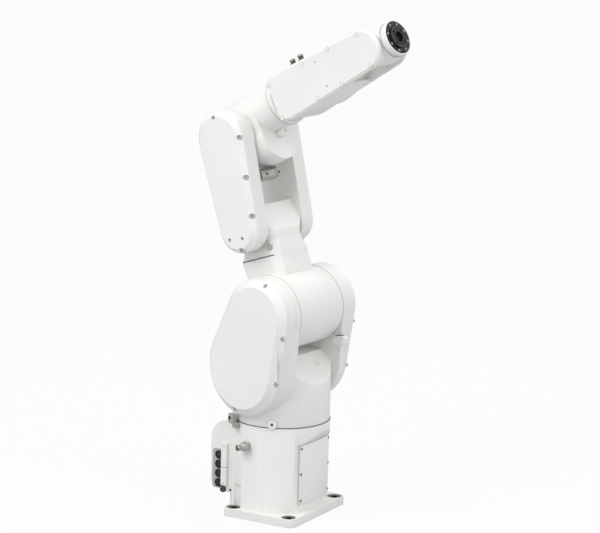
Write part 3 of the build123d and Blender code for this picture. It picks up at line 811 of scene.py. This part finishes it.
BOSS_ANGLE = math.radians(-61.8)
BOSS_Z = -209.0
BOSS_ROOT_R = 94.6
BOSS_RINGS = [(8.8, 0), (8.8, 1.4), (8.2, 2.2), (7.4, 2.5)]
BOSS_HEAD_ROOT_R = 96.8
BOSS_HEAD_RISE = 1.6
BOSS_HEAD_R = 2.6
BOSS_HEAD_HEIGHT = 1.0
outward = Vector((math.cos(BOSS_ANGLE), math.sin(BOSS_ANGLE), 0))


def boss_place(radius, rise):
    return facing(radius * outward.x - SHOULDER_FORWARD, radius * outward.y, BOSS_Z + rise, outward)


boss = add_turned("stop_boss_disc", "turret", CASTING,
                  [(boss_place(BOSS_ROOT_R, 0), BOSS_RINGS)], steps=HOLE_STEPS)
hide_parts("stop_boss")
add_turned("stop_screw", "turret", DARK,
           [(boss_place(BOSS_HEAD_ROOT_R, BOSS_HEAD_RISE), screw_rings(BOSS_HEAD_R, BOSS_HEAD_HEIGHT))])


# Turret: screw on the saddle's slope

SADDLE_SCREW_PLACE = (42.4, 26, -105.2)
SADDLE_SLOPE = (1, 0, 1)
SADDLE_HEAD_R = 5.0
SADDLE_HEAD_RINGS = [(SADDLE_HEAD_R, 0), (SADDLE_HEAD_R, 0.7), (4.6, 1.0), (1.6, 1.0, 6), (1.6, 0.2, 6)]
SADDLE_RING_R = 5.6
SADDLE_RING_HEIGHT = 0.6

place = facing(*SADDLE_SCREW_PLACE, SADDLE_SLOPE)
add_turned("saddle_screw", "turret", CASTING, [(place, SADDLE_HEAD_RINGS)])
rings = washer_rings(SADDLE_HEAD_R, SADDLE_RING_R, SADDLE_RING_HEIGHT)
add_turned("saddle_screw_ring", "turret", SEAM, [(place, rings)], capped=False)


# Turret: cable clamp under the hub, with a dark strip along its top that is painted shade of its slot, and its
# lug; outlines as (x, z)

CLAMP_OUTLINE = [(52, -62), (58, -56), (76, -52), (84, -57), (83, -66), (74, -73), (58, -76), (52, -70)]
CLAMP_SIDES = (58, 70)
CLAMP_ROUND = 1.2
CLAMP_SLOT_SHADE_OUTLINE = [(58, -57.4), (76, -53.4), (76, -51), (58, -55)]
CLAMP_SLOT_SHADE_SIDES = (59.5, 67)
CLAMP_SLOT_SHADE_ROUND = 0.4
CLAMP_LUG_PLACE = (80, 60, -64)
CLAMP_LUG_DIRECTION = (0.6, -1, 0)
CLAMP_LUG_RINGS = [(6.2, -3), (6.2, 2.2), (5.6, 2.8), (2.2, 2.8), (2.2, 1.0)]

clamp = add_prisms("shoulder_cable_clamp", "turret", CASTING, ALONG_Y,
                   [(CLAMP_OUTLINE, *CLAMP_SIDES)], CLAMP_ROUND)
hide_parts("shoulder_clamp")
# Dark strip on the clamp's top: painted shade of the slot
add_prisms("shoulder_clamp_slot_painted_shade", "turret", SEAL, ALONG_Y,
           [(CLAMP_SLOT_SHADE_OUTLINE, *CLAMP_SLOT_SHADE_SIDES)], CLAMP_SLOT_SHADE_ROUND)
add_turned("shoulder_clamp_lug", "turret", CASTING,
           [(facing(*CLAMP_LUG_PLACE, CLAMP_LUG_DIRECTION), CLAMP_LUG_RINGS)])


# Lower arm: bolts that hold the fork

FORK_BOLT_X = 22
FORK_BOLT_Y = 48.0
FORK_BOLT_Z = 120.5
FORK_BOSS_RINGS = [(6.2, -2), (6.2, 0.6), (5.6, 1.0)]
FORK_HEAD_LIFT = 0.8
FORK_HEAD_R = 3.8
FORK_HEAD_HEIGHT = 1.2

bosses = []
heads = []
for side, word in SIDES:
    outer = (0, side, 0)
    bosses.append((facing(FORK_BOLT_X, side * FORK_BOLT_Y, FORK_BOLT_Z, outer), FORK_BOSS_RINGS))
    heads.append((facing(FORK_BOLT_X, side * (FORK_BOLT_Y + FORK_HEAD_LIFT), FORK_BOLT_Z, outer),
                  screw_rings(FORK_HEAD_R, FORK_HEAD_HEIGHT)))
add_turned("fork_bosses", "lower_arm", SEAM, bosses)
add_turned("fork_screws", "lower_arm", METAL, heads)


# Elbow: knob, and cable clamp with a dark strip along its top, its lug and screws; outlines as (x, z)

KNOB_PLACE = (62, 5, -25)
KNOB_DIRECTION = (1, -0.2, -0.12)
KNOB_RINGS = [(9.2, 0), (9.2, 19), (8.4, 21), (6.8, 22), (3.0, 22, 6), (3.0, 20, 6)]
ELBOW_CLAMP_OUTLINE = [(14, -66), (20, -66), (20, -77), (27, -79), (29, -83), (29, -94), (25, -98), (14, -98)]
ELBOW_CLAMP_SIDES = (-44, 4)
ELBOW_CLAMP_ROUND = 1.4
ELBOW_TOP_STRIP = (19, 29.4, -81, -77.4)
ELBOW_TOP_STRIP_SIDES = (-38, 3)
ELBOW_TOP_STRIP_ROUND = 0.5
ELBOW_LUG_PLACE = (27, 2, -90)
ELBOW_LUG_RINGS = [(6.4, 0), (6.4, 3.4), (5.8, 4.0)]
# Clamp screws as (place, radius of the head)
ELBOW_CLAMP_SCREWS = [((31, 2, -90), 2.8), ((29, -30, -89), 2.4)]
ELBOW_HEAD_HEIGHT = 1.2

knob = add_turned("elbow_plug", "elbow", CASTING,
                  [(facing(*KNOB_PLACE, KNOB_DIRECTION), KNOB_RINGS)], steps=FINE_STEPS)
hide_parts("elbow_knob")
clamp = add_prisms("elbow_cable_clamp", "elbow", CAST_ALLOY, ALONG_Y,
                   [(ELBOW_CLAMP_OUTLINE, *ELBOW_CLAMP_SIDES)], ELBOW_CLAMP_ROUND)
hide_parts("elbow_clamp")
# Dark strip along the clamp's top
add_prisms("elbow_clamp_top_strip", "elbow", SEAL, ALONG_Y,
           [(rectangle(*ELBOW_TOP_STRIP), *ELBOW_TOP_STRIP_SIDES)], ELBOW_TOP_STRIP_ROUND)
add_turned("elbow_clamp_lug", "elbow", CAST_ALLOY,
           [(facing(*ELBOW_LUG_PLACE, FORWARD), ELBOW_LUG_RINGS)])
items = []
for head_place, head_r in ELBOW_CLAMP_SCREWS:
    items.append((facing(*head_place, FORWARD), screw_rings(head_r, ELBOW_HEAD_HEIGHT)))
add_turned("elbow_clamp_screws", "elbow", IRON, items)


# Forearm: flush screws in ring grooves, and two small plugs; places as (x, z)

FOREARM_SCREWS = [(125, 53), (126, -14), (216, 56), (283, 56), (357, 52), (360, -9), (284, -14), (219, -14)]
FOREARM_PLUGS = [(251, -3), (246, 47)]
FLUSH_HEAD_R = 4.0
FLUSH_HEAD_RINGS = [(FLUSH_HEAD_R, -1), (FLUSH_HEAD_R, 0.5), (3.6, 0.8), (1.6, 0.8, 6), (1.6, 0.1, 6)]
GROOVE_R = 4.7
GROOVE_HEIGHT = 1.25
GROOVE_SINK = 1
PLUG_RINGS = [(1.9, 0), (1.9, 1.3), (1.4, 1.5)]

heads = []
grooves = []
plugs = []
groove_rings = washer_rings(FLUSH_HEAD_R, GROOVE_R, GROOVE_HEIGHT)
for side, word in SIDES:
    outer = (0, side, 0)
    for x, z in FOREARM_SCREWS:
        heads.append((facing(x, side * FOREARM_FACE_Y, z, outer), FLUSH_HEAD_RINGS))
        grooves.append((facing(x, side * (FOREARM_FACE_Y - GROOVE_SINK), z, outer), groove_rings))
    for x, z in FOREARM_PLUGS:
        plugs.append((facing(x, side * (FOREARM_FACE_Y - GROOVE_SINK), z, outer), PLUG_RINGS))
add_turned("forearm_screws", "forearm", COVER, heads)
add_turned("forearm_screw_grooves", "forearm", SEAM, grooves, capped=False)
add_turned("forearm_plugs", "forearm", SEAM, plugs)


# Forearm: two air fittings on its top, with bright rings

AIR_FITTING_PLACES = (163, 184)
AIR_FITTING_ROOT = 64.0
AIR_BODY_RINGS = [(7.4, -6, 6), (7.4, 11, 6), (5.0, 11.6), (5.0, 17)]
AIR_RING_HEIGHT = 81.0
AIR_COLLAR_RINGS = [(5.6, 0), (5.6, 2.6), (4.8, 3.2), (2.8, 3.2), (2.8, 0.4)]

items = []
rings = []
for x in AIR_FITTING_PLACES:
    items.append((facing(x, 0, AIR_FITTING_ROOT, UPWARD), AIR_BODY_RINGS))
    rings.append((facing(x, 0, AIR_RING_HEIGHT, UPWARD), AIR_COLLAR_RINGS))
fittings = add_turned("air_fitting_bodies", "forearm", IRON, items)
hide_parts("air_fittings")
add_turned("air_fitting_rings", "forearm", CAST_ALLOY, rings)


# Forearm: belly, a smooth bulge along the underside

BELLY_START = 174.0
BELLY_END = 284.0
BELLY_HALF_WIDTH = 37.0
BELLY_DEPTH = 9.0
BELLY_TAPER = 1.5
BELLY_FLATNESS = 4
UNDERSIDE_START = (149.0, -25.0)
UNDERSIDE_END = (354.0, -16.0)
BELLY_ROOT = 6.0
BELLY_STEPS = 28
BELLY_ARC_STEPS = 20


def underside(x):
    """Height of the forearm's underside at a place along it."""
    along = (x - UNDERSIDE_START[0]) / (UNDERSIDE_END[0] - UNDERSIDE_START[0])
    return UNDERSIDE_START[1] + along * (UNDERSIDE_END[1] - UNDERSIDE_START[1])


def belly_loop(share):
    """Section of the belly at a share of its length: a flattened arc below, square corners above."""
    x = BELLY_START + (BELLY_END - BELLY_START) * share
    depth = BELLY_DEPTH * math.sin(math.pi * share) ** BELLY_TAPER
    points = []
    for turn in range(BELLY_ARC_STEPS + 1):
        across_share = 2 * turn / BELLY_ARC_STEPS - 1
        drop = depth * (1 - across_share ** BELLY_FLATNESS)
        points.append((x, BELLY_HALF_WIDTH * across_share, underside(x) - drop))
    points.append((x, BELLY_HALF_WIDTH, underside(x) + BELLY_ROOT))
    points.append((x, -BELLY_HALF_WIDTH, underside(x) + BELLY_ROOT))
    return points


shape = bmesh.new()
loops = []
for step in range(BELLY_STEPS + 1):
    loops.append([shape.verts.new(Vector(point) * MM) for point in belly_loop(step / BELLY_STEPS)])
join_loops(shape, loops, True)
belly = finish_shape("forearm_belly_shell", "forearm", COVER, shape)
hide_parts("forearm_belly")


# Wrist and flange: groove on the nose, white sleeve around the dark disc, screws and rings

WRIST_GROOVE_R = 33.2
WRIST_GROOVE_X = 38
WRIST_GROOVE_WIDTH = 1.5
seal("wrist_groove", "wrist", WRIST_GROOVE_R, WRIST_GROOVE_WIDTH, facing(WRIST_GROOVE_X, 0, 0, FORWARD), SEAM)

SLEEVE_X = 42.2
SLEEVE_R = 33.5
SLEEVE_BACK_R = 33.3
SLEEVE_LIP_R = 32.5
DISC_R = 31.5
SLEEVE_LENGTH = 10.5
SLEEVE_RINGS = [(SLEEVE_BACK_R, 0), (SLEEVE_R, 0.4), (SLEEVE_R, 9.6), (SLEEVE_LIP_R, SLEEVE_LENGTH),
                (DISC_R, SLEEVE_LENGTH), (DISC_R, 9.9), (DISC_R, 0)]
add_turned("flange_sleeve", "flange", CASTING,
           [(facing(SLEEVE_X, 0, 0, FORWARD), SLEEVE_RINGS)], steps=WIDE_STEPS, capped=False)

FLANGE_RING_X = 52.0
FLANGE_SCREW_CIRCLE_R = 26.0
FLANGE_SCREW_COUNT = 8
FLANGE_FIRST_SCREW_SHARE = 0.5
FLANGE_HEAD_R = 2.3
FLANGE_HEAD_HEIGHT = 1.6
items = []
for index in range(FLANGE_SCREW_COUNT):
    angle = 2 * math.pi * (index + FLANGE_FIRST_SCREW_SHARE) / FLANGE_SCREW_COUNT
    y = FLANGE_SCREW_CIRCLE_R * math.cos(angle)
    z = FLANGE_SCREW_CIRCLE_R * math.sin(angle)
    items.append((facing(FLANGE_RING_X, y, z, FORWARD), screw_rings(FLANGE_HEAD_R, FLANGE_HEAD_HEIGHT)))
add_turned("flange_screws", "flange", CAST_ALLOY, items)

FLANGE_FACE_X = 56.0
FLANGE_REGISTER_R = 20.0
REGISTER_SINK = 0.3
REGISTER_INNER = 1.2
REGISTER_OUTER = 0.1
REGISTER_HEIGHT = 0.6
rings = washer_rings(FLANGE_REGISTER_R - REGISTER_INNER, FLANGE_REGISTER_R + REGISTER_OUTER, REGISTER_HEIGHT)
add_turned("flange_register_ring", "flange", IRON,
           [(facing(FLANGE_FACE_X - REGISTER_SINK, 0, 0, FORWARD), rings)], steps=WIDE_STEPS, capped=False)


# Camera

def turned_direction(azimuth, elevation):
    azimuth = math.radians(azimuth)
    elevation = math.radians(elevation)
    return Vector((math.cos(azimuth) * math.cos(elevation), math.sin(azimuth) * math.cos(elevation),
                   math.sin(elevation)))


camera_place = CAMERA_RANGE * turned_direction(CAMERA_AZIMUTH, 0)
camera_place.z = CAMERA_HEIGHT
look = turned_direction(CAMERA_AZIMUTH + HALF_TURN + CAMERA_YAW, -CAMERA_PITCH)
level_right = look.cross(Vector((0, 0, 1))).normalized()
level_up = level_right.cross(look)
roll = math.radians(CAMERA_ROLL)
right = level_right * math.cos(roll) + level_up * math.sin(roll)
up = level_up * math.cos(roll) - level_right * math.sin(roll)
camera_data = bpy.data.cameras.new("camera")
camera_data.sensor_fit = "HORIZONTAL"
camera_data.sensor_width = SENSOR_WIDTH
camera_data.lens = FOCAL_PIXELS * SENSOR_WIDTH / IMAGE_WIDTH
camera = bpy.data.objects.new("camera", camera_data)
bpy.context.scene.collection.objects.link(camera)
camera.matrix_world = Matrix.Translation(camera_place) @ Matrix((right, up, -look)).transposed().to_4x4()
bpy.context.scene.camera = camera


# Light and white background

def add_lamp(name, azimuth, elevation, power):
    """Large soft lamp aimed at the middle of the arm."""
    target = Vector((0, 0, LAMP_TARGET_HEIGHT))
    direction = turned_direction(azimuth, elevation)
    lamp_data = bpy.data.lights.new(name, "AREA")
    lamp_data.energy = power
    lamp_data.size = LAMP_SIZE
    lamp = bpy.data.objects.new(name, lamp_data)
    bpy.context.scene.collection.objects.link(lamp)
    lamp.matrix_world = Matrix.Translation(target + LAMP_RANGE * direction) @ direction.to_track_quat(
        "Z", "Y").to_matrix().to_4x4()


add_lamp("key", KEY_AZIMUTH, KEY_ELEVATION, KEY_POWER)
add_lamp("front", FRONT_AZIMUTH, FRONT_ELEVATION, FRONT_POWER)
add_lamp("rim", RIM_AZIMUTH, RIM_ELEVATION, RIM_POWER)

world = bpy.data.worlds.new("studio")
bpy.context.scene.world = world
world.use_nodes = True
world_nodes = world.node_tree.nodes
world_links = world.node_tree.links
world_nodes.clear()
light = world_nodes.new("ShaderNodeBackground")
light.inputs["Strength"].default_value = WORLD_LIGHT
light.inputs["Color"].default_value = WHITE
white = world_nodes.new("ShaderNodeBackground")
white.inputs["Color"].default_value = WHITE
rays = world_nodes.new("ShaderNodeLightPath")
choose = world_nodes.new("ShaderNodeMixShader")
output = world_nodes.new("ShaderNodeOutputWorld")
world_links.new(rays.outputs["Is Camera Ray"], choose.inputs["Fac"])
world_links.new(light.outputs["Background"], choose.inputs[1])
world_links.new(white.outputs["Background"], choose.inputs[2])
world_links.new(choose.outputs["Shader"], output.inputs["Surface"])


# Floor, which glows white to the eye and still takes the arm's shadow

floor_mesh = bpy.data.meshes.new("floor")
corners = [(x, y, 0) for x, y in rectangle(-FLOOR_HALF, FLOOR_HALF, -FLOOR_HALF, FLOOR_HALF)]
floor_mesh.from_pydata(corners, [], [(0, 1, 2, 3)])
floor = bpy.data.objects.new("floor", floor_mesh)
bpy.context.scene.collection.objects.link(floor)
floor_material, nodes, links, shader = shader_tree("studio_floor", 0.0)
shader.inputs["Base Color"].default_value = (*FLOOR_GREY, 1)
shader.inputs["Roughness"].default_value = FLOOR_ROUGHNESS
shader.inputs["Specular IOR Level"].default_value = 0.0
glow = nodes.new("ShaderNodeEmission")
paths = nodes.new("ShaderNodeLightPath")
share = nodes.new("ShaderNodeMath")
share.operation = "MULTIPLY"
share.inputs[1].default_value = FLOOR_GLOW_SHARE
blend = nodes.new("ShaderNodeMixShader")
links.new(paths.outputs["Is Camera Ray"], share.inputs[0])
links.new(share.outputs["Value"], blend.inputs["Fac"])
links.new(shader.outputs["BSDF"], blend.inputs[1])
links.new(glow.outputs["Emission"], blend.inputs[2])
links.new(blend.outputs["Shader"], nodes["Material Output"].inputs["Surface"])
floor_mesh.materials.append(floor_material)

bpy.context.scene.view_settings.view_transform = "Standard"

bpy.context.view_layer.update()
